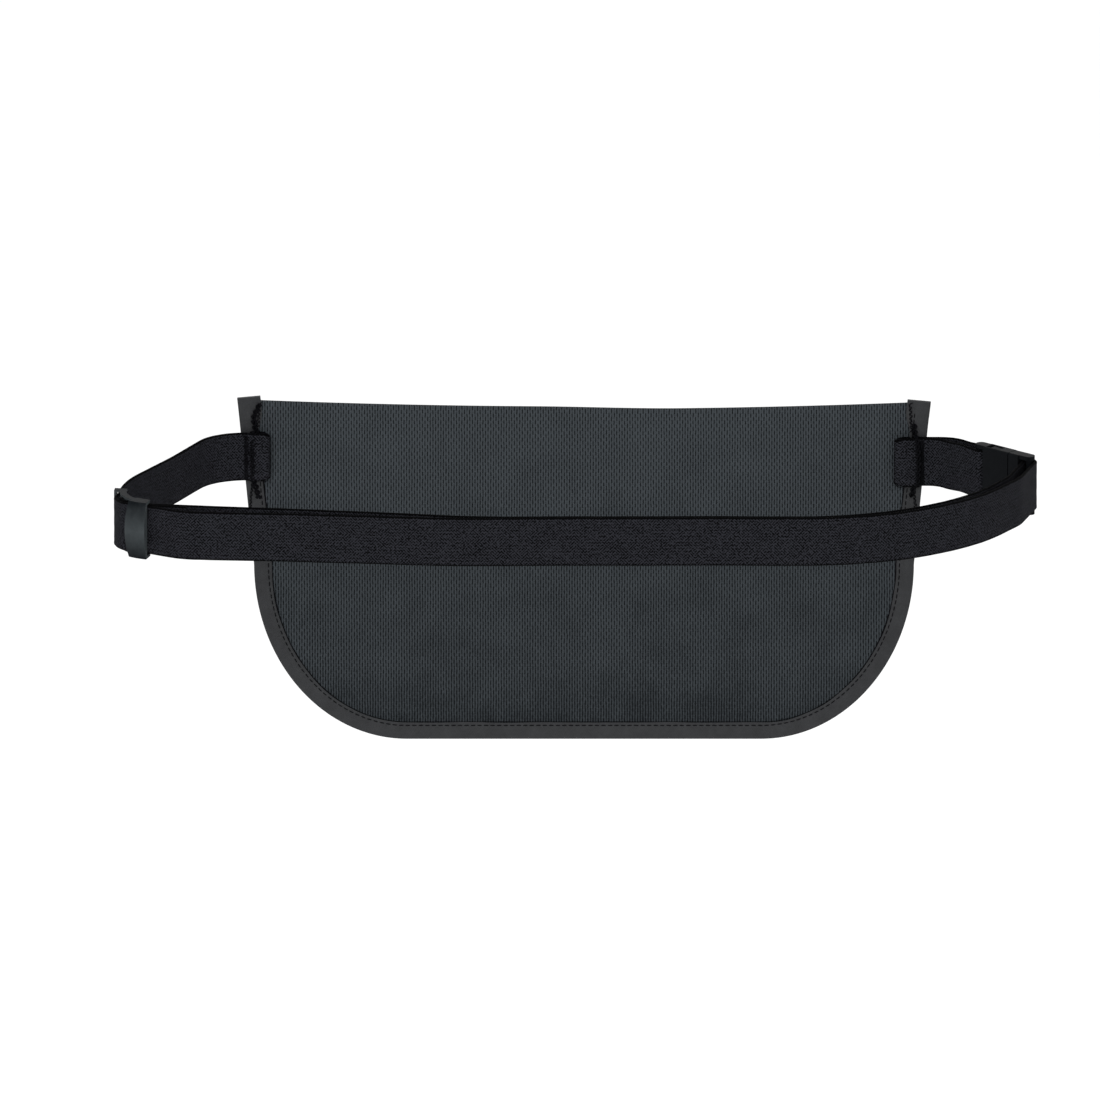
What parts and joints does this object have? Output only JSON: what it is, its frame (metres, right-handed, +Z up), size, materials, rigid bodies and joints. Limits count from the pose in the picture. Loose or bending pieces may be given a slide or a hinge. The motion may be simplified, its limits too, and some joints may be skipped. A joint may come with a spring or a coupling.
{
  "type": "money belt",
  "caption": "Flat rounded waist pouch with zipped pockets on a closed elastic strap, with a tri-glide adjuster and a side-release buckle.",
  "frame": {"origin": "middle of the waist loop at the strap's mid height", "axes": "+X towards the buckle, +Y from the wearer to the zips, +Z up"},
  "size_m": [0.3676, 0.1245, 0.1429],
  "materials": {
    "back_knit": "knit",
    "front_cloth": "woven",
    "lining": "woven",
    "binding_tape": "satin",
    "elastic": "woven",
    "thread": "thread",
    "zip_tape": "woven",
    "zip_coil": "satin",
    "zip_metal": "satin",
    "buckle_plastic": "satin",
    "slider_plastic": "satin"
  },
  "bodies": {
    "pouch": {"back_panel": "back_knit", "divider_panel": "lining", "pocket_lining": "lining", "front_panel_middle": "front_cloth", "front_panel_lower": "front_cloth", "edge_binding": "binding_tape", "main_zip_tape_upper": "zip_tape", "main_zip_tape_lower": "zip_tape", "main_zip_coil_upper": "zip_coil", "main_zip_coil_lower": "zip_coil", "main_zip_top_stop_upper": "zip_metal", "main_zip_top_stop_lower": "zip_metal", "main_zip_bottom_stop": "zip_metal", "pocket_zip_tape_upper": "zip_tape", "pocket_zip_tape_lower": "zip_tape", "pocket_zip_coil_upper": "zip_coil", "pocket_zip_coil_lower": "zip_coil", "pocket_zip_top_stop_upper": "zip_metal", "pocket_zip_top_stop_lower": "zip_metal", "pocket_zip_bottom_stop": "zip_metal", "strap_rear_run": "elastic", "strap_outer_run": "elastic", "strap_inner_run": "elastic", "strap_outer_right": "elastic", "strap_inner_right": "elastic", "stub_strap": "elastic", "bartack_left": "thread", "bartack_right": "thread", "buckle_female": "buckle_plastic"},
    "strap_slider_end": {"strap_slider": "slider_plastic", "strap_slider_pass": "elastic", "strap_sewn_end": "elastic"},
    "buckle_male_end": {"buckle_male": "buckle_plastic", "strap_buckle_turn": "elastic"},
    "prong_upper": {"buckle_prong_upper": "buckle_plastic"},
    "prong_lower": {"buckle_prong_lower": "buckle_plastic"},
    "main_slider": {"main_zip_slider": "zip_metal"},
    "main_puller": {"main_zip_puller": "zip_metal"},
    "pocket_slider": {"pocket_zip_slider": "zip_metal"},
    "pocket_puller": {"pocket_zip_puller": "zip_metal"}
  },
  "joints": [
    {"name": "main_zip_slide", "type": "slide", "parent": "pouch", "child": "main_slider", "axis": [1, 0, 0], "range_m": [-0.227, 0], "deforming": ["main_zip_coil_upper", "main_zip_coil_lower"]},
    {"name": "main_zip_pull", "type": "hinge", "parent": "main_slider", "child": "main_puller", "pos_m": [0.1145, 0.06355, 0.009], "axis": [0, 0, 1], "range_deg": [0, 178]},
    {"name": "pocket_zip_slide", "type": "slide", "parent": "pouch", "child": "pocket_slider", "axis": [1, 0, 0], "range_m": [-0.217, 0], "deforming": ["pocket_zip_coil_upper", "pocket_zip_coil_lower"]},
    {"name": "pocket_zip_pull", "type": "hinge", "parent": "pocket_slider", "child": "pocket_puller", "pos_m": [0.1095, 0.06355, -0.024], "axis": [0, 0, 1], "range_deg": [0, 178]},
    {"name": "waist_stretch", "type": "slide", "parent": "pouch", "child": "strap_slider_end", "axis": [-1, 0, 0], "range_m": [0, 0.12], "stiffness_N_per_m": 40, "deforming": ["strap_rear_run", "strap_outer_run", "strap_inner_run"]},
    {"name": "buckle_release", "type": "slide", "parent": "pouch", "child": "buckle_male_end", "axis": [0.749, -0.6626, 0], "range_m": [0, 0.022], "deforming": ["strap_outer_right", "strap_inner_right", "buckle_prong_upper", "buckle_prong_lower"]},
    {"name": "prong_upper_press", "type": "hinge", "parent": "buckle_male_end", "child": "prong_upper", "pos_m": [0.17155, 0.0243, 0.006], "axis": [-0.6626, -0.749, 0], "range_deg": [0, 14], "stiffness_Nm_per_rad": 0.05},
    {"name": "prong_lower_press", "type": "hinge", "parent": "buckle_male_end", "child": "prong_lower", "pos_m": [0.17155, 0.0243, -0.006], "axis": [0.6626, 0.749, 0], "range_deg": [0, 14], "stiffness_Nm_per_rad": 0.05}
  ]
}
